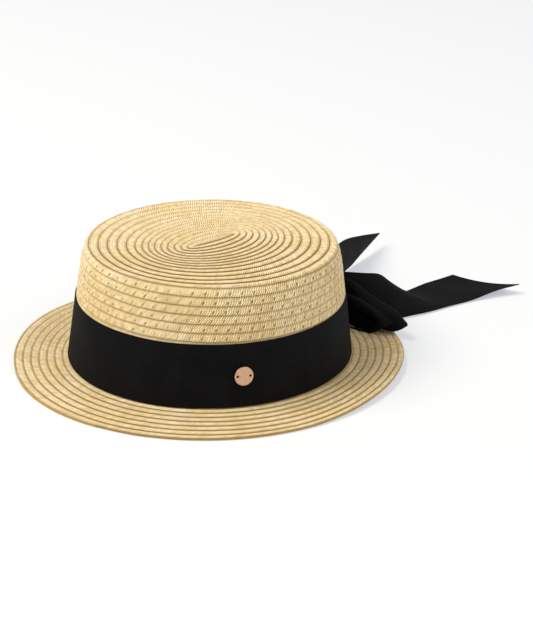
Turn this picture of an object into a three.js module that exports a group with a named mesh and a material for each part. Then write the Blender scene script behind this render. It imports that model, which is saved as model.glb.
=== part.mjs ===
import * as THREE from 'three';
import { mergeVertices } from 'three/addons/utils/BufferGeometryUtils.js';

// A straw boater with a ribbon bow. Sizes are in millimetres and angles in degrees.
// It lies on its brim at z = 0, its front faces -Y and the bow is at +Y.

// Clearance between two pieces that touch.
const gap = 0.3;

// Straw braid: the wall, how far a row's free edge stands proud, and the width that shows of a row.
const strawWall = 2;
const braidLedge = 0.7;
const braidPitch = 5.6;

// Half lengths front to back and half widths side to side of the hat's ovals.
const headLong = 95.8;
const headWide = 86.9;
const shoulderLong = 87;
const shoulderWide = 80.5;
const shoulderInset = 5.3;
const brimLong = 132.8;
const brimWide = 120.4;
const tipFoldLong = 16;
const tipFoldWide = 0.8;

// Heights: the brim's rise to the crown, the crown above the brim, its round shoulder and its crowning.
const brimRise = 2.85;
const crownHeight = 75.4;
const shoulderDrop = 16;
const tipCrowning = 0.5;

// How far the tip sits forward of the headline, because the crown leans a little.
const crownLean = 2.2;

// The brim's edge lifts off the table at two opposite stretches, and lies flat between them.
const edgeLift = 3.4;
const edgeLiftTurn = 29;

// Grosgrain ribbon of the band and the bow.
const ribbonWidth = 40.5;
const ribbonThick = 1;

// The bow: its knot, and the reach of its loops and of its tails from the knot.
const knotWidth = 20;
const knotDepth = 12;
const knotHeight = 27;
const loopReach = 54;
const tailReach = 138;

// The charm: a disc with two sewing holes, at an angle round the band from +X.
const charmRadius = 6;
const charmThick = 1.2;
const charmTurn = -29.4;
const holeRadius = 0.8;
const holeSpread = 4.1;

// How finely the ovals, the shoulder and the ribbons are divided.
const ovalSides = 44;
const shoulderSteps = 4;
const loopSteps = 36;
const tailSteps = 24;
const ribbonAcross = 4;

const radians = THREE.MathUtils.degToRad;
const lerp = THREE.MathUtils.lerp;
const headline = brimRise + strawWall;
const crownTop = headline + crownHeight;
const wallTop = crownTop - shoulderDrop;
const tipLong = shoulderLong - shoulderInset;
const wallLean = (headLong - shoulderLong) / (wallTop - headline);

function leanAt(height) {
  // How far forward the crown has leaned at a height over the table.
  return -crownLean * THREE.MathUtils.clamp((height - headline) / crownHeight, 0, 1);
}

function closedBody(geometry) {
  // One closed body whose faces point out, whichever way its outline ran.
  geometry.deleteAttribute('normal');
  geometry.deleteAttribute('uv');
  const merged = mergeVertices(geometry, 1e-4);
  const index = Array.from(merged.index.array);
  const at = (i) => new THREE.Vector3().fromBufferAttribute(merged.attributes.position, i);
  const kept = [];
  let volume = 0;
  for (let i = 0; i < index.length; i += 3) {
    const [a, b, c] = index.slice(i, i + 3);
    if (a === b || b === c || c === a) continue;
    kept.push([a, b, c]);
    volume += at(a).dot(at(b).cross(at(c)));
  }
  merged.setIndex(kept.flatMap(([a, b, c]) => (volume > 0 ? [a, b, c] : [a, c, b])));
  merged.computeVertexNormals();
  return merged;
}

function ovalBody(profile, lift) {
  // A lathed profile pulled from a circle to the oval that each of its points names.
  const outline = profile.map((p) => new THREE.Vector2(p.long, p.z));
  const geometry = new THREE.LatheGeometry(outline, ovalSides);
  const position = geometry.attributes.position;
  for (let i = 0; i < position.count; i++) {
    const p = profile[i % profile.length];
    const turn = (Math.floor(i / profile.length) % ovalSides) * 2 * Math.PI / ovalSides;
    const z = p.z + (p.sway ? p.sway * lift(turn) : 0);
    position.setXYZ(i, p.wide * Math.cos(turn), p.long * Math.sin(turn) + leanAt(p.z), z);
  }
  return closedBody(geometry);
}

function brimLift(turn) {
  const wave = -Math.cos(2 * (turn - Math.PI / 2 - radians(edgeLiftTurn)));
  return edgeLift * Math.pow(Math.max(0, wave), 1.5);
}

// The crown's outer line in its front to back section, from the fold in the tip down to the brim.
const crownLine = new THREE.CurvePath();
const shoulderTopIn = new THREE.Vector2(tipLong, crownTop);
const shoulderFoot = new THREE.Vector2(shoulderLong, wallTop);
const shoulderCorner = new THREE.Vector2(shoulderLong - wallLean * shoulderDrop, crownTop);
crownLine.add(new THREE.LineCurve(new THREE.Vector2(tipFoldLong, crownTop + tipCrowning), shoulderTopIn));
crownLine.add(new THREE.QuadraticBezierCurve(shoulderTopIn, shoulderCorner, shoulderFoot));
crownLine.add(new THREE.LineCurve(shoulderFoot, new THREE.Vector2(headLong, headline)));
const [tipRun, shoulderRun, crownRun] = crownLine.getCurveLengths();

function crownPoint(run, out) {
  // A point at a length along the crown's line, moved out from it, with the oval's half width there.
  const share = run / crownRun;
  const on = crownLine.getPointAt(share);
  const along = crownLine.getTangentAt(share);
  const tipShare = (on.x - tipFoldLong) / (tipLong - tipFoldLong);
  const wallShare = THREE.MathUtils.clamp((on.y - headline) / (wallTop - headline), 0, 1);
  const narrower = run < tipRun
    ? lerp(tipFoldLong - tipFoldWide, shoulderLong - shoulderWide, tipShare)
    : lerp(headLong - headWide, shoulderLong - shoulderWide, wallShare);
  const long = on.x - along.y * out;
  return { long, wide: long - narrower, z: on.y + along.x * out };
}

function wallAt(height, out) {
  // A point on the crown's straight wall, from its height over the table.
  const share = (height - headline) / (wallTop - headline);
  const long = lerp(headLong, shoulderLong, share) + out;
  const narrower = lerp(headLong - headWide, shoulderLong - shoulderWide, share);
  return { long, wide: long - narrower, z: height };
}

function crown() {
  // Rows of braid from the tip's middle to the band, each over the next, then the plain wall below.
  const bandTop = headline + 2 * gap + ribbonWidth;
  const rowsRun = crownRun - (bandTop - headline) * Math.hypot(1, wallLean);
  const rows = Math.round(rowsRun / braidPitch);
  const profile = [{ long: 0, wide: 0, z: crownTop + tipCrowning }];
  for (let row = 0; row < rows; row++) {
    profile.push(crownPoint(rowsRun * row / rows, 0));
    profile.push(crownPoint(rowsRun * (row + 1) / rows, braidLedge));
  }
  profile.push(wallAt(bandTop, 0));
  profile.push(wallAt(headline + gap, 0));
  profile.push(wallAt(headline + gap, -strawWall));
  profile.push(wallAt((headline + wallTop) / 2, -strawWall));
  for (let step = 0; step <= shoulderSteps; step++) {
    profile.push(crownPoint(lerp(shoulderRun, tipRun, step / shoulderSteps), -strawWall));
  }
  profile.push(crownPoint(tipRun / 2, -strawWall));
  profile.push(crownPoint(0, -strawWall));
  profile.push({ long: 0, wide: 0, z: crownTop + tipCrowning - strawWall });
  return ovalBody(profile);
}

function brim() {
  // An oval ring that slopes down to its last row of braid, which lies flat.
  const rows = Math.round((brimLong - headLong) / braidPitch);
  const place = (share, above) => {
    const slope = Math.min(1, share * rows / (rows - 1));
    return {
      long: lerp(headLong, brimLong, share),
      wide: lerp(headWide, brimWide, share),
      z: brimRise * (1 - slope) + above,
      sway: slope * slope,
    };
  };
  const inside = { long: headLong - strawWall, wide: headWide - strawWall };
  const profile = [{ ...inside, z: brimRise }, { ...inside, z: headline }];
  profile.push({ long: headLong, wide: headWide, z: headline });
  for (let row = 0; row < rows; row++) {
    profile.push(place(row / rows, strawWall - braidLedge));
    profile.push(place((row + 1) / rows, strawWall));
  }
  profile.push(place(1, 0));
  profile.push(place((rows - 1) / rows, 0));
  profile.push(place((rows - 1) / rows / 2, 0));
  profile.push({ ...inside, z: brimRise });
  return ovalBody(profile, brimLift);
}

function ribbonBand() {
  const foot = headline + gap;
  const top = foot + ribbonWidth;
  const inner = gap;
  const outer = gap + ribbonThick;
  const profile = [wallAt(foot, inner), wallAt(foot, outer), wallAt(top, outer), wallAt(top, inner)];
  profile.push(wallAt(foot, inner));
  return ovalBody(profile);
}

// Where the bow sits: the outer face of the band at the back, half way up it.
const bandMiddle = headline + gap + ribbonWidth / 2;
const bandBack = wallAt(bandMiddle, gap + ribbonThick).long + leanAt(bandMiddle);
const knotBack = bandBack + gap + knotDepth;

function bowKnot() {
  // A rounded wrap, squarer than a ball, that leans with the band that it is sewn on.
  const geometry = new THREE.SphereGeometry(1, 16, 12);
  const position = geometry.attributes.position;
  const rounder = (v) => Math.sign(v) * Math.pow(Math.abs(v), 0.6);
  for (let i = 0; i < position.count; i++) {
    const x = rounder(position.getX(i)) * knotWidth / 2;
    const y = (1 + rounder(position.getY(i))) * knotDepth / 2;
    const z = bandMiddle + rounder(position.getZ(i)) * knotHeight / 2;
    position.setXYZ(i, x, wallAt(z, 2 * gap + ribbonThick).long + leanAt(z) + y, z);
  }
  return closedBody(geometry);
}

function ribbonBetween(low, high, belly, steps) {
  // A strip of ribbon between two edges, each a function of the share of the way along it, that
  // swells between them by a share of the ribbon's width.
  const surface = (along, across) => {
    const from = low.getPoint(along);
    const to = high.getPoint(along);
    const way = low.getTangent(along).add(high.getTangent(along));
    const swell = way.cross(to.clone().sub(from)).normalize();
    swell.multiplyScalar(4 * across * (1 - across) * belly(along) * ribbonWidth);
    return from.lerp(to, across).add(swell);
  };
  const geometry = new THREE.BoxGeometry(1, 1, 1, steps, ribbonAcross, 1);
  const position = geometry.attributes.position;
  const step = 0.5 / steps;
  for (let i = 0; i < position.count; i++) {
    const along = position.getX(i) + 0.5;
    const across = position.getY(i) + 0.5;
    const onward = surface(Math.min(1, along + step), across).sub(surface(Math.max(0, along - step), across));
    const outward = surface(along, Math.min(1, across + step)).sub(surface(along, Math.max(0, across - step)));
    const face = onward.cross(outward).normalize();
    const place = surface(along, across).addScaledVector(face, position.getZ(i) * ribbonThick);
    position.setXYZ(i, place.x, place.y, place.z);
  }
  return closedBody(geometry);
}

function edgeOf(table, edge, place) {
  return new THREE.CatmullRomCurve3(table.map((row) => place(row[`${edge}Side`], row[`${edge}Out`], row[`${edge}Up`])));
}

function smooth(table, column) {
  // A column of a table as a smooth function of the share of the way down the table.
  const line = new THREE.SplineCurve(table.map((row) => new THREE.Vector2(row[column], 0)));
  return (share) => line.getPoint(share).x;
}

// A loop, from the knot by its upper layer to the fold and back by its lower layer. Side is a
// share of the loop's reach, out from the band and up from the table shares of the ribbon's width.
// The low edge is the one by the crown, which the knot holds at the bottom.
const loopTable = [
  { lowSide: 0.00, lowOut: 0.16, lowUp: 0.52, highSide: 0.00, highOut: 0.23, highUp: 0.90, belly: 0 },
  { lowSide: 0.22, lowOut: 0.12, lowUp: 0.53, highSide: 0.22, highOut: 0.40, highUp: 0.82, belly: 0 },
  { lowSide: 0.43, lowOut: 0.10, lowUp: 0.50, highSide: 0.50, highOut: 0.56, highUp: 0.60, belly: 0 },
  { lowSide: 0.63, lowOut: 0.17, lowUp: 0.45, highSide: 0.82, highOut: 0.62, highUp: 0.40, belly: 0 },
  { lowSide: 0.80, lowOut: 0.24, lowUp: 0.27, highSide: 1.05, highOut: 0.61, highUp: 0.24, belly: 0 },
  { lowSide: 0.66, lowOut: 0.14, lowUp: 0.15, highSide: 0.84, highOut: 0.58, highUp: 0.10, belly: 0 },
  { lowSide: 0.41, lowOut: 0.07, lowUp: 0.16, highSide: 0.48, highOut: 0.56, highUp: 0.13, belly: 0 },
  { lowSide: 0.18, lowOut: 0.14, lowUp: 0.24, highSide: 0.18, highOut: 0.43, highUp: 0.34, belly: 0 },
  { lowSide: 0.00, lowOut: 0.26, lowUp: 0.34, highSide: 0.00, highOut: 0.31, highUp: 0.74, belly: 0 },
];

function bowLoop(side) {
  const place = (sideways, out, up) => new THREE.Vector3(
    side * (knotWidth / 2 + gap + sideways * loopReach),
    bandBack + out * ribbonWidth,
    up * ribbonWidth,
  );
  const low = edgeOf(loopTable, 'low', place);
  const high = edgeOf(loopTable, 'high', place);
  return ribbonBetween(low, high, smooth(loopTable, 'belly'), loopSteps);
}

// The tails, from the knot to their slanted ends. Side and out from the knot are shares of the
// tails' reach, up from the table and the belly between the edges are shares of the ribbon's width.
const rightTail = [
  { lowSide: 0.03, lowOut: 0.013, lowUp: 0.34, highSide: 0.01, highOut: 0.013, highUp: 0.82, belly: 0 },
  { lowSide: 0.13, lowOut: 0.06, lowUp: 0.18, highSide: 0.09, highOut: 0.05, highUp: 0.84, belly: 0.05 },
  { lowSide: 0.22, lowOut: 0.13, lowUp: 0.12, highSide: 0.16, highOut: 0.13, highUp: 0.815, belly: 0.08 },
  { lowSide: 0.29, lowOut: 0.24, lowUp: 0.03, highSide: 0.175, highOut: 0.215, highUp: 0.74, belly: 0.08 },
  { lowSide: 0.32, lowOut: 0.33, lowUp: 0.03, highSide: 0.165, highOut: 0.305, highUp: 0.54, belly: 0.08 },
  { lowSide: 0.345, lowOut: 0.44, lowUp: 0.03, highSide: 0.12, highOut: 0.42, highUp: 0.245, belly: 0.08 },
  { lowSide: 0.36, lowOut: 0.56, lowUp: 0.03, highSide: 0.092, highOut: 0.51, highUp: 0.05, belly: 0.03 },
  { lowSide: 0.39, lowOut: 0.72, lowUp: 0.04, highSide: 0.085, highOut: 0.72, highUp: 0.03, belly: 0 },
  { lowSide: 0.43, lowOut: 0.87, lowUp: 0.13, highSide: 0.095, highOut: 0.83, highUp: 0.03, belly: -0.05 },
  { lowSide: 0.48, lowOut: 0.99, lowUp: 0.19, highSide: 0.10, highOut: 0.92, highUp: 0.03, belly: -0.06 },
];
const leftTail = [
  { lowSide: -0.03, lowOut: 0.011, lowUp: 0.34, highSide: -0.01, highOut: 0.011, highUp: 0.84, belly: 0 },
  { lowSide: -0.10, lowOut: 0.11, lowUp: 0.18, highSide: -0.05, highOut: 0.11, highUp: 0.94, belly: 0.06 },
  { lowSide: -0.17, lowOut: 0.23, lowUp: 0.06, highSide: -0.14, highOut: 0.25, highUp: 0.89, belly: 0.12 },
  { lowSide: -0.25, lowOut: 0.37, lowUp: 0.03, highSide: -0.24, highOut: 0.43, highUp: 0.77, belly: 0.16 },
  { lowSide: -0.30, lowOut: 0.50, lowUp: 0.03, highSide: -0.35, highOut: 0.68, highUp: 0.53, belly: 0.12 },
  { lowSide: -0.34, lowOut: 0.61, lowUp: 0.04, highSide: -0.46, highOut: 0.97, highUp: 0.24, belly: 0 },
];

function bowTail(table) {
  const place = (sideways, out, up) => new THREE.Vector3(
    sideways * tailReach,
    knotBack + out * tailReach,
    up * ribbonWidth,
  );
  const low = edgeOf(table, 'low', place);
  const high = edgeOf(table, 'high', place);
  return ribbonBetween(low, high, smooth(table, 'belly'), tailSteps);
}

function charm() {
  const disc = new THREE.Shape().absarc(0, 0, charmRadius, 0, 2 * Math.PI);
  for (const side of [-1, 1]) {
    disc.holes.push(new THREE.Path().absarc(side * holeSpread, 0, holeRadius, 0, 2 * Math.PI));
  }
  const settings = { depth: charmThick, bevelEnabled: false, curveSegments: 16 };
  return closedBody(new THREE.ExtrudeGeometry(disc, settings));
}

function placeCharm(mesh) {
  // It stands off the band's face, square to the band along it and up it.
  const turn = radians(charmTurn);
  const onBand = (height, angle) => {
    const band = wallAt(height, gap + ribbonThick);
    return new THREE.Vector3(band.wide * Math.cos(angle), band.long * Math.sin(angle) + leanAt(height), height);
  };
  const foot = onBand(bandMiddle, turn);
  const spread = charmRadius / headLong;
  const along = onBand(bandMiddle, turn + spread).sub(onBand(bandMiddle, turn - spread));
  const upward = onBand(bandMiddle + charmRadius, turn).sub(foot);
  const face = along.cross(upward).normalize();
  const sideways = new THREE.Vector3(0, 0, 1).cross(face).normalize();
  const upright = face.clone().cross(sideways);
  mesh.setRotationFromMatrix(new THREE.Matrix4().makeBasis(sideways, upright, face));
  mesh.position.copy(foot).addScaledVector(face, gap + 0.1);
}

function named(name, geometry, colour, roughness, metalness) {
  const material = new THREE.MeshStandardMaterial({ color: colour, roughness, metalness });
  const mesh = new THREE.Mesh(geometry, material);
  mesh.name = name;
  return mesh;
}

const straw = [0xd6bd87, 0.75, 0];
const ribbon = [0x17161a, 0.8, 0];
const roseGold = [0xc99a7c, 0.35, 1];

const hat = new THREE.Group();
hat.add(named('crown', crown(), ...straw));
hat.add(named('brim', brim(), ...straw));
hat.add(named('ribbon_band', ribbonBand(), ...ribbon));
hat.add(named('bow_knot', bowKnot(), ...ribbon));
hat.add(named('bow_loop_right', bowLoop(1), ...ribbon));
hat.add(named('bow_loop_left', bowLoop(-1), ...ribbon));
hat.add(named('bow_tail_right', bowTail(rightTail), ...ribbon));
hat.add(named('bow_tail_left', bowTail(leftTail), ...ribbon));
const disc = named('charm', charm(), ...roseGold);
placeCharm(disc);
hat.add(disc);

// The origin is under the middle of the whole part, on the table.
const box = new THREE.Box3().setFromObject(hat, true);
const middle = box.getCenter(new THREE.Vector3());
hat.position.set(-middle.x, -middle.y, -box.min.z);
hat.updateMatrixWorld(true);

export default hat;
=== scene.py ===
import math

import bpy
import numpy as np
from mathutils import Matrix, Vector


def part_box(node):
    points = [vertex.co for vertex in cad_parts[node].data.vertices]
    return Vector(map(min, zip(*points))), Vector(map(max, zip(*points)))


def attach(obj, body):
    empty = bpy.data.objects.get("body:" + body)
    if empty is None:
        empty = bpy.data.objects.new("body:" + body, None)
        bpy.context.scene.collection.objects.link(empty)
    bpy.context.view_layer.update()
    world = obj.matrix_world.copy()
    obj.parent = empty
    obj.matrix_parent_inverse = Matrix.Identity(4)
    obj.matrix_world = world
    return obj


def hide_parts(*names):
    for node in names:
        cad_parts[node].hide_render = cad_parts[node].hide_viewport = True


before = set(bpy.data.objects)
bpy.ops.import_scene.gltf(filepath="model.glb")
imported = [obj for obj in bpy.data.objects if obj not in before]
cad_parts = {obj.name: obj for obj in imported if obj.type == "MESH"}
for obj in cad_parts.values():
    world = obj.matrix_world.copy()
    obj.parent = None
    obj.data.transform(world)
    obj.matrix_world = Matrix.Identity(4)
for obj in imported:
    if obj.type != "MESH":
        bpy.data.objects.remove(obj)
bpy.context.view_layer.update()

# Crown: one long plait of paper straw, sewn row on row in a spiral from the fold in the middle of the
# tip, over the shoulder and down the side. Every row laps over the one outside it. The rows behind the
# ribbon are pressed in a little by it.
MM = 0.001
# The middle of the hat on the table. Sizes are in millimetres.
brim_low, brim_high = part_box("brim")
HAT = np.array((brim_low + brim_high) / 2 / MM) * (1, 1, 0)
CLEAR = 0.3
HEADLINE = 4.85
CROWN_TOP = 80.25
CROWN_LEAN = 2.2
TIP_CROWNING = 0.5
SHOULDER_DROP = 16
# Half the length and half the width of the crown's ovals. The two sides of the fold meet and overlap.
HEAD = (95.8, 86.9)
SHOULDER = (87.0, 80.5)
FOLD = (16.0, -0.3)
TIP_LONG = 81.7
RIBBON_WIDTH = 40.5
WALL_TOP = CROWN_TOP - SHOULDER_DROP
BAND_TOP = HEADLINE + 2 * CLEAR + RIBBON_WIDTH
WALL_LEAN = (HEAD[0] - SHOULDER[0]) / (WALL_TOP - HEADLINE)
BRAID_WIDTH = 5.6
BRAID_LEDGE = 0.7
BRAID_STRAND = 1.5
BRAID_SLANT = 0.6
STITCH = 7.4
STITCH_PLACE = 3.6
STRAW_LIGHT = (0.98, 0.78, 0.465, 1)
STRAW_MIDDLE = (0.92, 0.705, 0.37, 1)
# The last three are painted shade: between the strands, in the lines on the upright wall, and deeper in the
# lines on flat rows and in the stitch holes.
STRAW_GAP_SHADE = (0.23, 0.135, 0.02, 1)
STRAW_SHADE = (0.38, 0.225, 0.042, 1)
STRAW_DEEP_SHADE = (0.12, 0.058, 0.01, 1)


def lean_at(height):
    """How far the crown has leaned at a height, along y."""
    return -CROWN_LEAN * np.clip((height - HEADLINE) / (CROWN_TOP - HEADLINE), 0, 1)


def crown_line():
    """The crown's outer line from the fold to the brim.

    Gives its run, half length and height, and how much less the half width is than the half length.
    """
    s = np.linspace(0.1, 1, 10)
    tip = [FOLD[0] + (TIP_LONG - FOLD[0]) * s, CROWN_TOP + TIP_CROWNING * (1 - s)]
    wall = [SHOULDER[0] + (HEAD[0] - SHOULDER[0]) * s, WALL_TOP + (HEADLINE - WALL_TOP) * s]
    s = np.linspace(0, 1, 17)[1:]
    corner = SHOULDER[0] - WALL_LEAN * SHOULDER_DROP
    rounded = [
        (1 - s) ** 2 * TIP_LONG + 2 * s * (1 - s) * corner + s**2 * SHOULDER[0],
        (1 - s**2) * CROWN_TOP + s**2 * WALL_TOP,
    ]
    fold = [[FOLD[0]], [CROWN_TOP + TIP_CROWNING]]
    long, height = np.concatenate([fold, tip, rounded, wall], axis=1)
    run = np.concatenate([[0], np.cumsum(np.hypot(np.diff(long), np.diff(height)))])
    on_tip = (long - FOLD[0]) / (TIP_LONG - FOLD[0])
    on_wall = np.clip((height - HEADLINE) / (WALL_TOP - HEADLINE), 0, 1)
    at_fold, at_shoulder, at_head = (pair[0] - pair[1] for pair in (FOLD, SHOULDER, HEAD))
    narrower = np.where(
        on_tip < 1,
        at_fold + (at_shoulder - at_fold) * on_tip,
        at_head + (at_shoulder - at_head) * on_wall,
    )
    return run, long, height, narrower


CROWN_LINE = crown_line()
CROWN_RUN = CROWN_LINE[0][-1]
ROWS_RUN = CROWN_RUN - (BAND_TOP - HEADLINE) * math.hypot(1, WALL_LEAN)
CROWN_PITCH = ROWS_RUN / round(ROWS_RUN / BRAID_WIDTH)
# How far the braid's free edge has come after each turn from the fold. Further rows are a pitch each.
TIP_ROWS = (1.2, 5.9, 10.3, 14.6, 19.0, 23.0, 26.8, 30.5, 34.3, 38.6, 43.9, 49.7, 55.4, 61.0)
# How deep the rows sit, how much deeper behind the ribbon, and the span that the slope is measured over.
ROWS_SUNK = 0.35
ROWS_PRESSED = 0.4
SLOPE_SPAN = 0.4


def crown_oval(run, out):
    """Half length, half width and height of the crown at a run down its line and a distance out of it."""
    runs, longs, heights, narrower = CROWN_LINE
    run = np.clip(run, 0, CROWN_RUN)
    ahead = np.clip(run + SLOPE_SPAN, 0, CROWN_RUN)
    behind = np.clip(run - SLOPE_SPAN, 0, CROWN_RUN)
    along = np.interp(ahead, runs, longs) - np.interp(behind, runs, longs)
    down = np.interp(ahead, runs, heights) - np.interp(behind, runs, heights)
    length = np.hypot(along, down)
    out = out - ROWS_SUNK - ROWS_PRESSED * np.clip((run - ROWS_RUN) / 2, 0, 1)
    long = np.interp(run, runs, longs) - down / length * out
    return long, long - np.interp(run, runs, narrower), np.interp(run, runs, heights) + along / length * out


# Round a row's section: the share of the row across it, from under the row inside it to its free edge,
# how far out it stands as a share of the ledge, and millimetres more.
ROW_SECTION = [
    (-0.30, -0.20, -0.50),
    (-0.05, 0.00, -0.12),
    (0.08, 0.08, 0.12),
    (0.26, 0.26, 0.30),
    (0.48, 0.48, 0.38),
    (0.70, 0.70, 0.32),
    (0.88, 0.88, 0.16),
    (1.00, 1.00, -0.10),
    (1.05, 1.00, -0.34),
    (1.03, 1.00, -0.60),
    (0.99, 0.00, -0.75),
    (0.90, 0.00, -1.28),
    (0.50, 0.00, -1.34),
    (0.10, 0.00, -1.28),
    (0.02, 0.00, -1.05),
    (-0.30, 0.00, -0.95),
]
SPIRAL_START = -0.82
SECTIONS_A_TURN = 56
LONGEST_STEP = 2.4
LEAST_ROW = 0.4
# The stitches of one row stand a little further on than those of the row inside it.
STITCH_SHIFT = 0.13
# How much the free edge wanders and dips at its stitches, how much a row is fuller or flatter, and the
# lengths of the waves that they follow.
EDGE_WANDER = 0.035
EDGE_DIP = 0.02
EDGE_WAVES = (61, 37, 23, 11)
PUFF_WANDER = 0.25
PUFF_WAVES = (47, 29, 13)


def wander(along, seed, lengths):
    """A slow wave from -1 to 1 along a braid or ribbon, from a few wave lengths, that doesn't repeat."""
    shifts = np.random.default_rng(seed).uniform(0, 6.28, len(lengths))
    waves = [np.sin(along * 6.283 / length + shift) for length, shift in zip(lengths, shifts)]
    return sum(waves) / len(lengths)


def rows_reach(turns, pitch, known):
    """How far rows reach, where the reach of the first ones is known and others are a pitch each."""
    before = np.minimum(turns, 0) * (known[1] - known[0])
    after = np.maximum(turns - len(known) + 1, 0) * pitch
    return np.interp(turns, range(len(known)), known) + before + after


def plait(oval, pitch, run, seed, known):
    """A spiral of braid over an oval surface.

    Gives the points of its sections, and for each point the length along the braid, the distance across
    it and the number of stitches before it.
    """
    turns, turn = [], 0.0
    while rows_reach(turn - 1, pitch, known) < run - LEAST_ROW:
        turns.append(turn)
        long, wide, _ = oval(np.array([pitch * max(turn - 0.5, 0)]), np.zeros(1))
        turn += min(1 / SECTIONS_A_TURN, LONGEST_STEP / (math.pi * (long[0] + wide[0])))
    turns = np.array(turns)
    inner = np.clip(rows_reach(turns - 1, pitch, known), 0, run - LEAST_ROW)
    outer = np.clip(rows_reach(turns, pitch, known), LEAST_ROW, run)
    long, wide, _ = oval((inner + outer) / 2, np.zeros_like(inner))
    angle = 2 * math.pi * turns + SPIRAL_START
    steps = np.diff(angle) * np.hypot(long * np.cos(angle), wide * np.sin(angle))[1:]
    length = np.concatenate([[0], np.cumsum(steps)])
    around = np.round(math.pi * (long + wide) / STITCH) + STITCH_SHIFT
    stitches = np.concatenate([[0], np.cumsum(np.diff(turns) * around[1:])])
    edge = 1 + EDGE_WANDER * wander(length, seed, EDGE_WAVES) + EDGE_DIP * np.cos(2 * math.pi * stitches)
    puff = 1 + PUFF_WANDER * wander(length, seed + 1, PUFF_WAVES)
    points, marks = [], []
    for across, ledge, extra in ROW_SECTION:
        if across < 0:
            place = inner + across * pitch
        else:
            place = inner + across * (edge if across > 0.9 else 1) * (outer - inner)
        out = ledge * BRAID_LEDGE + extra * (puff if extra > 0 else np.ones_like(puff))
        long, wide, height = oval(place, out)
        points.append(np.stack([wide * np.cos(angle), long * np.sin(angle), height], axis=1))
        marks.append(np.stack([length, np.full_like(length, across * BRAID_WIDTH), stitches], axis=1))
    return np.stack(points, axis=1), np.stack(marks, axis=1)


def swept(name, rings, marks, capped=True, sharp=50):
    """A mesh through rings of points in millimetres.

    Its marks are kept as two maps: braid (length, across) and stitches (count, across).
    """
    count, size = rings.shape[:2]
    i = np.arange(count - 1)[:, None] * size
    j = np.arange(size)[None, :]
    k = (j + 1) % size
    faces = np.stack([i + j, i + size + j, i + size + k, i + k], axis=2).reshape(-1, 4).tolist()
    if capped:
        faces += [list(range(size)), [(count - 1) * size + n for n in reversed(range(size))]]
    mesh = bpy.data.meshes.new(name)
    mesh.from_pydata((rings.reshape(-1, 3) * MM).tolist(), [], faces)
    mesh.validate()
    corners = np.empty(len(mesh.loops), dtype=np.int32)
    mesh.loops.foreach_get("vertex_index", corners)
    flat = marks.reshape(-1, marks.shape[2])[corners]
    for label, columns in (("braid", (0, 1)), ("stitches", (2, 1))):
        if max(columns) < marks.shape[2]:
            layer = mesh.uv_layers.new(name=label)
            layer.data.foreach_set("uv", flat[:, columns].astype(np.float32).ravel())
    mesh.polygons.foreach_set("use_smooth", [True] * len(mesh.polygons))
    mesh.set_sharp_from_angle(angle=math.radians(sharp))
    made = bpy.data.objects.new(name, mesh)
    bpy.context.collection.objects.link(made)
    return made


def facing_out(obj):
    """The same closed mesh with its faces turned out."""
    corners = np.array([v.co for v in obj.data.vertices])
    volume = 0.0
    for face in obj.data.polygons:
        first, *others = (corners[n] for n in face.vertices)
        for second, third in zip(others, others[1:]):
            volume += first.dot(np.cross(second, third))
    if volume < 0:
        obj.data.flip_normals()
    return obj


class Shades:
    """Short calls that add nodes to a material or to a node group."""

    def __init__(self, tree):
        self.tree = tree

    def add(self, kind, sockets=(), out=0, **settings):
        node = self.tree.nodes.new(kind)
        for key, value in settings.items():
            setattr(node, key, value)
        for key, value in dict(sockets).items():
            if isinstance(value, bpy.types.NodeSocket):
                self.tree.links.new(value, node.inputs[key])
            else:
                node.inputs[key].default_value = value
        return node.outputs[out]

    def math(self, operation, *values):
        return self.add("ShaderNodeMath", dict(enumerate(values)), operation=operation)

    def mix(self, share, one, other, blend="MIX"):
        sockets = {0: share, 6: one, 7: other}
        return self.add("ShaderNodeMix", sockets, out=2, data_type="RGBA", blend_type=blend)

    def between(self, value, low, high, least=0.0, most=1.0):
        sockets = {0: value, 1: low, 2: high, 3: least, 4: most}
        return self.add("ShaderNodeMapRange", sockets, interpolation_type="SMOOTHSTEP")

    def map_of(self, name):
        split = self.add("ShaderNodeSeparateXYZ", {0: self.add("ShaderNodeUVMap", uv_map=name)})
        return split, split.node.outputs[1]


def weave_group(name):
    """A node group for a weave's colour, roughness and height."""
    group = bpy.data.node_groups.new(name, "ShaderNodeTree")
    for label, kind in (("Color", "Color"), ("Roughness", "Float"), ("Height", "Float")):
        group.interface.new_socket(label, in_out="OUTPUT", socket_type=f"NodeSocket{kind}")
    return group


def give_out(group, **values):
    """Links a weave's values to the outputs of its group."""
    out = group.nodes.new("NodeGroupOutput")
    for label, value in values.items():
        group.links.new(value, out.inputs[label])


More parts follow.
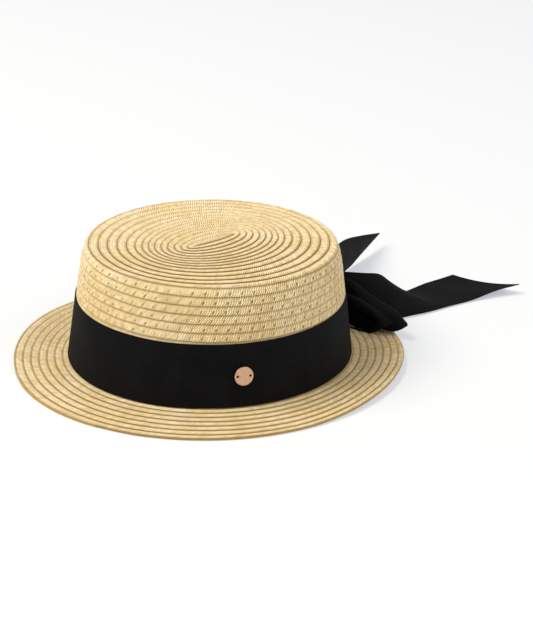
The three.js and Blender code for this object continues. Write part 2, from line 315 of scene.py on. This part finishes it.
def straw_group():
    """The plait: slanted strands with painted shade between them, small sewn holes with painted shade in them,
    and lines of painted shade along its edges.
    """
    group = weave_group("plaited_straw")
    group.interface.new_socket("Lines", in_out="INPUT", socket_type="NodeSocketFloat")
    lines = group.nodes.new("NodeGroupInput").outputs["Lines"]
    s = Shades(group)
    along, across = s.map_of("braid")
    count, _ = s.map_of("stitches")
    place = s.add("ShaderNodeNewGeometry")
    facing = s.add("ShaderNodeSeparateXYZ", {0: place.node.outputs["Normal"]}, out=2)
    upright = s.between(facing, 0.45, 0.85, 1.0, 0.0)
    # Strands: slanted strips in two lanes along the braid, slightly bent, each with its own tint.
    bend = s.add("ShaderNodeTexNoise", {"Vector": place, "Scale": 210.0, "Detail": 1.0})
    bend = s.math("MULTIPLY", s.math("SUBTRACT", bend, 0.5), 0.7)
    lane = s.math("DIVIDE", across, BRAID_WIDTH / 2)
    shifted = s.math("MULTIPLY_ADD", s.math("FLOOR", lane), 0.65, along)
    slanted = s.math("MULTIPLY_ADD", across, BRAID_SLANT, shifted)
    strip = s.math("DIVIDE", s.math("ADD", slanted, bend), BRAID_STRAND)
    strand = s.math("SINE", s.math("MULTIPLY", s.math("FRACT", strip), math.pi))
    crest = s.math("SINE", s.math("MULTIPLY", s.math("FRACT", lane), math.pi))
    cell = s.math("MULTIPLY_ADD", s.math("FLOOR", lane), 13.7, s.math("FLOOR", strip))
    tint = s.add("ShaderNodeTexWhiteNoise", {"W": cell}, noise_dimensions="1D")
    # Holes of the stitches: one short slanted stroke each, low on every row, with painted shade in them.
    middle = s.math("MULTIPLY", s.math("SUBTRACT", s.math("FRACT", count), 0.5), STITCH)
    low = s.math("SUBTRACT", across, STITCH_PLACE)
    aside = s.math("ABSOLUTE", s.math("MULTIPLY_ADD", low, 0.5, middle))
    thin = s.between(aside, 0.35, 0.6, 1.0, 0.0)
    short = s.between(s.math("ABSOLUTE", low), 0.65, 0.95, 1.0, 0.0)
    hole = s.math("MULTIPLY", s.math("MULTIPLY", thin, short), s.math("MULTIPLY_ADD", upright, 0.88, 0.12))
    # Lines: painted shade on the straw just under the next row's edge, and on the row's own free edge.
    narrow = s.between(across, 0.05, 0.55, 0.5, 0.0)
    under = s.math("MAXIMUM", narrow, s.between(across, 0.7, 2.2, 0.36, 0.0))
    # The rim: partly the braid edge's own darker loops, partly painted shade, stronger on flat rows.
    rim_loops_and_shade = s.math("MULTIPLY_ADD", upright, -0.25, 0.36)
    rim_loops_and_shade = s.math("MULTIPLY", rim_loops_and_shade, s.between(across, 3.9, 4.8))
    nose_and_rim_shade = s.math("MAXIMUM", s.between(across, BRAID_WIDTH - 0.25, BRAID_WIDTH, 0.0, 0.95), rim_loops_and_shade)
    # Colours: light and middle straw in soft patches, painted shade in olive between the strands and in the
    # lines.
    slow = s.add("ShaderNodeTexNoise", {"Vector": place, "Scale": 38.0, "Detail": 3.0})
    colour = s.mix(s.between(slow, 0.35, 0.65), STRAW_MIDDLE, STRAW_LIGHT)
    # Painted shade between the strands and where the braid's lanes meet, a little stronger on the upright wall.
    gap_shade = s.math("MAXIMUM", s.between(strand, 0.2, 0.7, 1.0, 0.0), s.between(crest, 0.0, 0.35, 0.4, 0.0))
    gap_shade = s.math("MULTIPLY", gap_shade, s.math("MULTIPLY_ADD", upright, 0.1, 0.9))
    colour = s.mix(gap_shade, colour, STRAW_GAP_SHADE)
    value = s.math("MULTIPLY_ADD", tint, 0.34, 0.86)
    grey = s.add("ShaderNodeCombineColor", {0: value, 1: value, 2: value})
    colour = s.mix(1.0, colour, grey, "MULTIPLY")
    # Painted shade for the lines: deep on the flat rows of the tip and brim, softer on the upright wall.
    edge = s.mix(upright, STRAW_DEEP_SHADE, STRAW_SHADE)
    colour = s.mix(s.math("MULTIPLY", under, lines), colour, edge)
    colour = s.mix(s.math("MULTIPLY", nose_and_rim_shade, lines), colour, edge)
    # Painted shade in the stitch holes, strongest on the upright wall.
    colour = s.mix(s.math("MULTIPLY", hole, 0.85), colour, STRAW_DEEP_SHADE)
    height = s.math("MULTIPLY_ADD", crest, 0.25, s.math("MULTIPLY", strand, 0.75))
    height = s.math("MULTIPLY_ADD", hole, -0.9, height)
    give_out(group, Color=colour, Roughness=s.between(strand, 0.0, 1.0, 0.72, 0.5), Height=height)
    return group


def woven_material(name, weave, relief, depth, shine, **inputs):
    """A material that takes its colour, roughness and relief from a weave's node group."""
    material = bpy.data.materials.new(name)
    material.use_nodes = True
    s = Shades(material.node_tree)
    shader = material.node_tree.nodes["Principled BSDF"]
    group = material.node_tree.nodes.new("ShaderNodeGroup")
    group.node_tree = weave
    for label, value in inputs.items():
        group.inputs[label].default_value = value
    link = material.node_tree.links.new
    link(group.outputs["Color"], shader.inputs["Base Color"])
    link(group.outputs["Roughness"], shader.inputs["Roughness"])
    bump = s.add("ShaderNodeBump", {"Strength": relief, "Distance": depth, "Height": group.outputs["Height"]})
    link(bump, shader.inputs["Normal"])
    shader.inputs["Specular IOR Level"].default_value = shine
    return material


STRAW = straw_group()


def straw_material(name, lines):
    """Pale natural paper straw, with painted shade in its row lines at some strength."""
    return woven_material(name, STRAW, relief=0.8, depth=0.0006, shine=0.2, Lines=lines)


rings, marks = plait(crown_oval, CROWN_PITCH, CROWN_RUN - 2 * CLEAR, seed=4, known=TIP_ROWS)
rings[:, :, 1] += lean_at(rings[:, :, 2])
crown = facing_out(swept("crown_braid", rings + HAT, marks))
crown.data.materials.append(straw_material("crown_straw", 0.95))
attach(crown, "root")
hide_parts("crown")

# Brim: the same plait sewn on outward from the headline, seven rows and a bit, and the last one ends
# under the one inside it. It slopes down to the last row, and lifts off the table on two sides.
BRIM = (132.8, 120.4)
BRIM_RISE = 2.85
BRIM_WALL = 1.3
BRIM_ROWS = 7
BRIM_RUN = BRIM[0] - HEAD[0]
BRIM_PITCH = BRIM_RUN / BRIM_ROWS
COLLAR_SLOPE = 0.75
EDGE_LIFT = 3.4
EDGE_LIFT_TURN = 29
EDGE_LIFT_POWER = 1.5
ABOVE_TABLE = 0.02


def slope_share(share):
    """How far down the brim's slope a share of its run is. The last row lies flat."""
    return np.clip(share * BRIM_ROWS / (BRIM_ROWS - 1), 0, 1)


def brim_oval(run, out):
    """Half length, half width and height of the brim at a run out from the headline and above it."""
    share = run / BRIM_RUN
    collar = COLLAR_SLOPE * np.clip(-run, 0, None)
    height = BRIM_RISE * (1 - slope_share(share)) + BRIM_WALL + out + collar
    return HEAD[0] + (BRIM[0] - HEAD[0]) * share, HEAD[1] + (BRIM[1] - HEAD[1]) * share, height


rings, marks = plait(brim_oval, BRIM_PITCH, BRIM_RUN, seed=9, known=(0, BRIM_PITCH))
x, y = rings[:, :, 0] / BRIM[1], rings[:, :, 1] / BRIM[0]
inside = HEAD[0] / BRIM[0]
slope = slope_share((np.hypot(x, y) - inside) / (1 - inside))
wave = -np.cos(2 * (np.arctan2(y, x) - math.pi / 2 - math.radians(EDGE_LIFT_TURN)))
rings[:, :, 2] += slope**2 * EDGE_LIFT * np.maximum(0, wave) ** EDGE_LIFT_POWER
rings[:, :, 2] = np.maximum(rings[:, :, 2], ABOVE_TABLE)
brim = facing_out(swept("brim_braid", rings + HAT, marks))
brim.data.materials.append(straw_material("brim_straw", 0.84))
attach(brim, "root")
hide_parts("brim")

# Ribbon band: black grosgrain, wound once round the foot of the crown and sewn under the bow. Its ribs
# run across it. Its edges are woven a little thicker.
BAND_THICK = 1.0
BAND_CLOTH = 0.8
BAND_OUT = CLEAR + BAND_THICK
BAND_DRIFT = 0.12
BAND_STEPS = 360
RIB = 1.15
BLACK = (0.0022, 0.0021, 0.0024, 1)
BLACK_PATCHES = (0.0046, 0.0045, 0.0053, 1)
# Round the band's section: the share across it, and how far out as a share of its thickness.
BAND_SECTION = [
    (0.000, 0.25),
    (0.000, 0.85),
    (0.015, 1.10),
    (0.040, 1.02),
    (0.300, 0.92),
    (0.700, 0.92),
    (0.960, 1.02),
    (0.985, 1.10),
    (1.000, 0.85),
    (1.000, 0.25),
    (0.960, 0.00),
    (0.500, 0.00),
    (0.040, 0.00),
]


def wall_at(height, out):
    """Half length and half width of the crown's wall at a height, and out from it."""
    share = (height - HEADLINE) / (WALL_TOP - HEADLINE)
    return [low + (high - low) * share + out for low, high in zip(HEAD, SHOULDER)]


def grosgrain_group():
    """Ribs across the ribbon, by the length along it, with soft lighter patches, lightest on the rib tops."""
    group = weave_group("grosgrain")
    s = Shades(group)
    along, _ = s.map_of("braid")
    rib = s.math("SINE", s.math("MULTIPLY", along, math.pi * 2 / RIB))
    rib = s.math("MULTIPLY_ADD", rib, 0.5, 0.5)
    place = s.add("ShaderNodeNewGeometry")
    slow = s.add("ShaderNodeTexNoise", {"Vector": place, "Scale": 55.0, "Detail": 4.0})
    fine = s.add("ShaderNodeTexNoise", {"Vector": place, "Scale": 1400.0, "Detail": 1.0})
    # Soft lighter patches of the black, lighter on the rib tops than between them.
    lighter_patches = s.math("MULTIPLY", s.between(slow, 0.35, 0.7), s.math("MULTIPLY_ADD", rib, 0.6, 0.4))
    give_out(
        group,
        Color=s.mix(lighter_patches, BLACK, BLACK_PATCHES),
        Roughness=s.between(rib, 0.0, 1.0, 0.85, 0.68),
        Height=s.math("MULTIPLY_ADD", fine, 0.35, rib),
    )
    return group


GROSGRAIN = grosgrain_group()


def ribbon_material(name):
    """Black grosgrain with a faint silky sheen."""
    return woven_material(name, GROSGRAIN, relief=0.35, depth=0.0002, shine=0.09)


angle = np.linspace(0, 2 * math.pi, BAND_STEPS + 1)
length = angle * (HEAD[0] + HEAD[1]) / 2
drift = BAND_DRIFT * wander(length, 31, (140, 83, 47))
cloth = BAND_CLOTH * (1 + 0.1 * wander(length, 32, (120, 71)))
points, marks = [], []
for across, thick in BAND_SECTION:
    height = HEADLINE + CLEAR + RIBBON_WIDTH * across + drift
    long, wide = wall_at(height, CLEAR + thick * cloth)
    points.append(np.stack([wide * np.cos(angle), long * np.sin(angle) + lean_at(height), height], axis=1))
    marks.append(np.stack([length, np.full_like(length, RIBBON_WIDTH * across)], axis=1))
rings = np.stack(points, axis=1)
rings[-1] = rings[0]
band = facing_out(swept("ribbon_band_cloth", rings + HAT, np.stack(marks, axis=1), capped=False))
band.data.materials.append(ribbon_material("band_ribbon"))
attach(band, "root")
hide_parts("ribbon_band")

# Bow knot: a short piece of the ribbon, wrapped tight round the middle of the bow and gathered, so that
# it shows a few upright folds.
KNOT = (20, 12, 27)
KNOT_OUT = BAND_OUT + CLEAR
KNOT_SLACK = 0.97
KNOT_SQUARENESS = 0.6
KNOT_FOLDS = 4.2
KNOT_FOLD_SLANT = 0.5
KNOT_FOLD_DEPTH = 0.05
KNOT_CLOTH = (8.0, 13.0)
BAND_MIDDLE = HEADLINE + CLEAR + RIBBON_WIDTH / 2
polar = np.linspace(0.02, math.pi - 0.02, 48)[:, None]
around = np.linspace(0, 2 * math.pi, 72, endpoint=False)[None, :]
ball = [np.sin(polar) * np.cos(around), np.sin(polar) * np.sin(around), np.cos(polar) * np.ones_like(around)]
x, y, z = (np.sign(v) * np.abs(v) ** KNOT_SQUARENESS for v in ball)
creases = np.abs(np.sin(x * KNOT_FOLDS + z * KNOT_FOLD_SLANT)) ** 0.6 * np.clip(y * 3, 0, 1)
folds = KNOT_SLACK - KNOT_FOLD_DEPTH * creases
height = BAND_MIDDLE + z * folds * KNOT[2] / 2
back = wall_at(height, KNOT_OUT)[0] + lean_at(height) + (1 + y * folds) * KNOT[1] / 2
rings = np.stack([x * KNOT_SLACK * KNOT[0] / 2, back, height], axis=2)
marks = np.stack([np.broadcast_to(z * KNOT_CLOTH[1], x.shape), x * KNOT_CLOTH[0]], axis=2)
knot = facing_out(swept("bow_knot_cloth", rings + HAT, marks))
knot.data.materials.append(ribbon_material("knot_ribbon"))
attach(knot, "root")
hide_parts("bow_knot")

# Bow loops: on each side a length of the ribbon that leaves the knot by its upper layer, folds over and
# comes back underneath. The edge by the crown is held low by the knot, and the other stands out over it.
LOOP_REACH = 54
BOW_CLOTH = 0.6
LOOP_PLEATS = (1.0, 5.8)
LOOP_BELLY = 0.15
BAND_BACK = wall_at(BAND_MIDDLE, BAND_OUT)[0] + lean_at(BAND_MIDDLE)
# Along the loop: how far the edge by the crown is out to the side as a share of the reach, and back and
# up as shares of the ribbon's width, and then the same for the other edge.
LOOP_ROWS = [
    (0.00, 0.16, 0.52, 0.00, 0.23, 0.90),
    (0.22, 0.12, 0.53, 0.22, 0.40, 0.70),
    (0.43, 0.10, 0.48, 0.52, 0.55, 0.42),
    (0.65, 0.16, 0.42, 0.93, 0.60, 0.36),
    (0.82, 0.22, 0.30, 1.06, 0.60, 0.275),
    (0.68, 0.14, 0.15, 0.95, 0.58, 0.18),
    (0.41, 0.07, 0.14, 0.50, 0.55, 0.21),
    (0.18, 0.14, 0.24, 0.18, 0.43, 0.45),
    (0.00, 0.26, 0.34, 0.00, 0.31, 0.74),
]


def curve_through(points, steps):
    """Points of a smooth curve through others, its pace set by the roots of the distances between them."""
    points = np.vstack([2 * points[0] - points[1], points, 2 * points[-1] - points[-2]])
    last = len(points) - 3
    made = []
    for where in np.linspace(0, last, steps + 1):
        n = min(int(where), last - 1)
        w = where - n
        a, b, c, d = points[n : n + 4]
        first, second, third = (max(np.linalg.norm(q - p), 1e-8) ** 0.5 for p, q in ((a, b), (b, c), (c, d)))
        go = ((b - a) / first - (c - a) / (first + second) + (c - b) / second) * second
        come = ((c - b) / second - (d - b) / (second + third) + (d - c) / third) * second
        made.append(b + go * w + (-3 * b + 3 * c - 2 * go - come) * w**2 + (2 * b - 2 * c + go + come) * w**3)
    return np.array(made)


def two_edges(table, start, sizes, steps):
    """A ribbon's two edges as curves, from a table of shares and the sizes that they follow."""
    low, high = (np.array(table)[:, n : n + 3] * sizes + start for n in (0, 3))
    return curve_through(low, steps), curve_through(high, steps)


def facing(sheet):
    """The way that a sheet faces at each of its points."""
    face = np.cross(np.gradient(sheet, axis=0), np.gradient(sheet, axis=1))
    return face / np.linalg.norm(face, axis=2)[:, :, None]


def ribbon_between(name, low, high, belly, pleats, across_steps=14):
    """A strip of ribbon between two edge curves, bellied out and pleated, as one thin closed body."""
    share = np.linspace(0, 1, across_steps + 1)
    way = np.gradient(low, axis=0) + np.gradient(high, axis=0)
    swell = np.cross(way, high - low)
    swell /= np.linalg.norm(swell, axis=1)[:, None]
    middle = low[:, None] + (high - low)[:, None] * share[None, :, None]
    bulge = (4 * share * (1 - share))[None, :, None] * belly[:, None, None] * RIBBON_WIDTH
    middle = middle + swell[:, None] * bulge
    waves = pleats[:, None] * np.sin(3 * math.pi * share)[None, :]
    middle = middle + facing(middle) * waves[:, :, None]
    half = facing(middle) * BOW_CLOTH / 2
    top, bottom = middle + half, middle - half
    rings = np.concatenate([top, bottom[:, ::-1]], axis=1)
    pace = np.linalg.norm(np.diff((low + high) / 2, axis=0), axis=1)
    length = np.concatenate([[0], np.cumsum(pace)])
    wide = np.concatenate([share, share[::-1]]) * RIBBON_WIDTH
    marks = np.stack(np.broadcast_arrays(length[:, None], wide[None, :]), axis=2)
    return facing_out(swept(name, rings + HAT, marks, sharp=60))


for side, word in ((1, "right"), (-1, "left")):
    start = (side * (KNOT[0] / 2 + CLEAR), BAND_BACK, 0)
    low, high = two_edges(LOOP_ROWS, start, (side * LOOP_REACH, RIBBON_WIDTH, RIBBON_WIDTH), 110)
    pleats = np.interp(np.abs(np.linspace(-1, 1, len(low))), (0, 1), LOOP_PLEATS)
    belly = np.interp(np.linspace(0, 1, len(low)), (0, 0.25, 0.5, 1), (0, LOOP_BELLY, 0, 0))
    loop = ribbon_between(f"bow_loop_{word}_cloth", low, high, side * belly, side * pleats, across_steps=28)
    loop.data.materials.append(ribbon_material(f"loop_{word}_ribbon"))
    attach(loop, "root")
    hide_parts(f"bow_loop_{word}")

# Bow tails: the two long free ends of the ribbon. They leave the back of the knot on edge, turn over on
# to the table and end in slanted cuts.
TAIL_REACH = 138
KNOT_BACK = BAND_BACK + CLEAR + KNOT[1]
# Along each tail: how far the low edge is to the right and back as shares of the reach, and up as a
# share of the ribbon's width, then the same for the high edge, and how much the ribbon bellies.
TAILS = {
    "right": [
        (0.03, 0.013, 0.34, 0.01, 0.013, 0.82, 0),
        (0.13, 0.06, 0.18, 0.09, 0.05, 0.84, 0.05),
        (0.22, 0.13, 0.12, 0.16, 0.13, 0.815, 0.08),
        (0.29, 0.24, 0.03, 0.175, 0.215, 0.74, 0.08),
        (0.32, 0.33, 0.03, 0.165, 0.305, 0.54, 0.08),
        (0.345, 0.44, 0.03, 0.12, 0.42, 0.245, 0.08),
        (0.36, 0.56, 0.03, 0.092, 0.51, 0.05, 0.03),
        (0.39, 0.72, 0.04, 0.085, 0.72, 0.03, 0),
        (0.43, 0.87, 0.13, 0.095, 0.83, 0.03, -0.05),
        (0.48, 0.99, 0.19, 0.1, 0.92, 0.03, -0.06),
    ],
    "left": [
        (-0.03, 0.011, 0.34, -0.01, 0.011, 0.84, 0),
        (-0.10, 0.11, 0.18, -0.05, 0.11, 0.94, 0.06),
        (-0.17, 0.23, 0.06, -0.14, 0.25, 0.89, 0.12),
        (-0.25, 0.37, 0.03, -0.24, 0.43, 0.77, 0.16),
        (-0.30, 0.50, 0.03, -0.35, 0.68, 0.53, 0.12),
        (-0.34, 0.61, 0.04, -0.46, 0.97, 0.24, 0),
    ],
}
# Each tail's longest edge in metres, and the area of the ribbon inside its slanted cut in square metres.
TAIL_CUTS = {"right": (0.160, 0.0062), "left": (0.150, 0.0050)}
for word, table in TAILS.items():
    low, high = two_edges(table, (0, KNOT_BACK, 0), (TAIL_REACH, TAIL_REACH, RIBBON_WIDTH), 120)
    belly = np.interp(np.linspace(0, len(table) - 1, len(low)), range(len(table)), [row[6] for row in table])
    tail = ribbon_between(f"bow_tail_{word}_cloth", low, high, belly, np.zeros(len(low)))
    tail.data.materials.append(ribbon_material(f"tail_{word}_ribbon"))
    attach(tail, "root")
    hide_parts(f"bow_tail_{word}")
    long, area = TAIL_CUTS[word]

# Charm: a small rose gold disc of thin metal with a soft edge. It lies flat on the band, on the right
# side and a little to the front, and is sewn on through two holes.
CHARM_RADIUS = 6.0
CHARM_THICK = 1.2
CHARM_TURN = -29.4
CHARM_GAP = 0.4
EDGE_ROUNDING = 0.15
HOLE_RADIUS = 0.8
HOLE_SPREAD = 4.1
ROSE_GOLD = (0.62, 0.37, 0.235, 1)


def on_band(height, turn):
    """A point on the outside of the ribbon band, at a height and a turn round the crown."""
    long, wide = wall_at(height, BAND_OUT)
    return HAT + (wide * math.cos(turn), long * math.sin(turn) + lean_at(height), height)


def placed(centre, right, up, face):
    """The matrix that puts a thing's centre at a place in millimetres and turns its axes three ways."""
    return Matrix.Translation(centre * MM) @ Matrix((right, up, face)).transposed().to_4x4()


outline = bpy.data.curves.new("charm_outline", "CURVE")
outline.dimensions = "2D"
outline.fill_mode = "BOTH"
rounds = [(0, CHARM_RADIUS - EDGE_ROUNDING, 72)]
rounds += [(aside, HOLE_RADIUS + EDGE_ROUNDING, 24) for aside in (-HOLE_SPREAD, HOLE_SPREAD)]
for centre, radius, sides in rounds:
    spline = outline.splines.new("POLY")
    spline.points.add(sides - 1)
    spline.use_cyclic_u = True
    for n, point in enumerate(spline.points):
        a = 2 * math.pi * n / sides
        point.co = ((centre + radius * math.cos(a)) * MM, radius * math.sin(a) * MM, 0, 1)
outline.extrude = (CHARM_THICK / 2 - EDGE_ROUNDING) * MM
outline.bevel_depth = EDGE_ROUNDING * MM
outline.bevel_resolution = 3
drawn = bpy.data.objects.new("charm_outline", outline)
bpy.context.collection.objects.link(drawn)
bpy.context.view_layer.update()
disc_mesh = bpy.data.meshes.new_from_object(drawn.evaluated_get(bpy.context.evaluated_depsgraph_get()))
bpy.data.objects.remove(drawn)
turn = math.radians(CHARM_TURN)
foot = on_band(BAND_MIDDLE, turn)
along = on_band(BAND_MIDDLE, turn + 0.1) - on_band(BAND_MIDDLE, turn - 0.1)
face = Vector(np.cross(along, on_band(BAND_MIDDLE + CHARM_RADIUS, turn) - foot)).normalized()
sideways = Vector((0, 0, 1)).cross(face).normalized()
centre = Vector(foot) + face * (CHARM_GAP + CHARM_THICK / 2)
CHARM_PLACE = placed(centre, sideways, face.cross(sideways), face)
disc_mesh.transform(CHARM_PLACE)
disc = bpy.data.objects.new("charm_disc", disc_mesh)
bpy.context.collection.objects.link(disc)
disc_mesh.polygons.foreach_set("use_smooth", [True] * len(disc_mesh.polygons))
disc_mesh.set_sharp_from_angle(angle=math.radians(40))
metal = bpy.data.materials.new("rose_gold")
metal.use_nodes = True
s = Shades(metal.node_tree)
shader = metal.node_tree.nodes["Principled BSDF"]
shader.inputs["Metallic"].default_value = 1.0
shader.inputs["Base Color"].default_value = ROSE_GOLD
brushed = s.add("ShaderNodeTexNoise", {"Vector": s.add("ShaderNodeNewGeometry"), "Scale": 900.0, "Detail": 2.0})
metal.node_tree.links.new(s.between(brushed, 0.3, 0.7, 0.24, 0.42), shader.inputs["Roughness"])
disc_mesh.materials.clear()
disc_mesh.materials.append(metal)
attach(disc, "root")
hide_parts("charm")

# Charm's thread: black sewing thread that holds the disc on the band. It is drawn tight through the two
# holes, so only its short ends in them show.
THREAD_RADIUS = 0.62
THREAD_START = -0.55
THREAD_STEP = 0.13
THREAD_STEPS = 9
THREAD_SIDES = 12
THREAD_ASIDE = HOLE_SPREAD + 0.1
step = np.arange(THREAD_STEPS)
reach = THREAD_START + step * THREAD_STEP
# It keeps its thickness and then rounds off towards its outer end.
thick = THREAD_RADIUS * np.sqrt(1 - ((step - 1) / 7.4) ** 6)
around = np.linspace(0, 2 * math.pi, THREAD_SIDES, endpoint=False)
for side, word in ((-1, "left"), (1, "right")):
    rings = np.stack(
        [
            side * THREAD_ASIDE + thick[:, None] * np.cos(around),
            thick[:, None] * np.sin(around),
            np.broadcast_to(reach[:, None], (THREAD_STEPS, THREAD_SIDES)),
        ],
        axis=2,
    )
    rings = np.array([CHARM_PLACE @ Vector(p * MM) for p in rings.reshape(-1, 3)]).reshape(rings.shape) / MM
    thread = facing_out(swept(f"charm_thread_{word}", rings, np.zeros((*rings.shape[:2], 2))))
    thread.data.materials.append(bpy.data.materials["band_ribbon"])
    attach(thread, "root")

# Table: a wide pale sheet that the hat lies on. It isn't part of the hat. It glows a little, so that it
# comes out white in the picture.
TABLE_SIZE = 8
TABLE_COLOUR = (0.42, 0.41, 0.37, 1)
TABLE_GLOW = (0.86, 0.90, 1.0, 1)
TABLE_GLOW_STRENGTH = 0.472
bpy.ops.mesh.primitive_plane_add(size=TABLE_SIZE, location=(0, 0, 0))
table = bpy.context.object
table.name = "table"
pale = bpy.data.materials.new("pale_table")
pale.use_nodes = True
shader = pale.node_tree.nodes["Principled BSDF"]
shader.inputs["Base Color"].default_value = TABLE_COLOUR
shader.inputs["Roughness"].default_value = 0.9
shader.inputs["Specular IOR Level"].default_value = 0.0
shader.inputs["Emission Color"].default_value = TABLE_GLOW
shader.inputs["Emission Strength"].default_value = TABLE_GLOW_STRENGTH
table.data.materials.append(pale)

# Light: a pale room, a wide soft lamp from the left of the camera, and a wider and weaker one from its
# right.
ROOM_STRENGTH = 0.56
LAMP_AIM = 40
bpy.context.scene.view_settings.view_transform = "Standard"
world = bpy.data.worlds.new("pale_room")
bpy.context.scene.world = world
world.use_nodes = True
world.node_tree.nodes["Background"].inputs["Color"].default_value = (1.0, 1.0, 1.0, 1)
world.node_tree.nodes["Background"].inputs["Strength"].default_value = ROOM_STRENGTH


def direction(azimuth, elevation):
    """The way from the hat to something at an azimuth from its front and an elevation, in degrees."""
    a, e = math.radians(azimuth), math.radians(elevation)
    return Vector((math.sin(a) * math.cos(e), -math.cos(a) * math.cos(e), math.sin(e)))


def lamp(name, azimuth, elevation, distance, size, watts, colour):
    """A square soft lamp that looks at the hat from a direction round it."""
    light = bpy.data.lights.new(name, "AREA")
    light.size = size
    light.energy = watts
    light.color = colour
    made = bpy.data.objects.new(name, light)
    back = direction(azimuth, elevation)
    made.location = Vector(HAT + (0, 0, LAMP_AIM)) * MM + back * distance
    made.rotation_mode = "QUATERNION"
    made.rotation_quaternion = (-back).to_track_quat("-Z", "Y")
    bpy.context.collection.objects.link(made)


lamp("key_lamp", azimuth=-30, elevation=52, distance=2.9, size=1.45, watts=88, colour=(1.0, 0.99, 0.97))
lamp("fill_lamp", azimuth=110, elevation=40, distance=3.5, size=2.55, watts=38, colour=(0.95, 0.97, 1.0))

# Camera: low over the table in front of the hat, to its right, with a slight roll. It aims at a point a
# little behind and above the middle of the brim.
CAMERA_AZIMUTH = 43.1
CAMERA_ELEVATION = 22.95
CAMERA_ROLL = 2.67
CAMERA_DISTANCE = 1313
CAMERA_AIM = (20.4, 29.8, 23.4)
CAMERA_LENS = 113.1
CAMERA_SENSOR = 36
back = direction(CAMERA_AZIMUTH, CAMERA_ELEVATION)
a, roll = math.radians(CAMERA_AZIMUTH), math.radians(CAMERA_ROLL)
right = Vector((math.cos(a), math.sin(a), 0))
up = back.cross(right)
rolled = right * math.cos(roll) + up * math.sin(roll)
upward = up * math.cos(roll) - right * math.sin(roll)
lens = bpy.data.cameras.new("camera")
lens.lens = CAMERA_LENS
lens.sensor_width = CAMERA_SENSOR
camera = bpy.data.objects.new("camera", lens)
camera.matrix_world = placed(Vector(HAT + CAMERA_AIM) + back * CAMERA_DISTANCE, rolled, upward, back)
bpy.context.collection.objects.link(camera)
bpy.context.scene.camera = camera
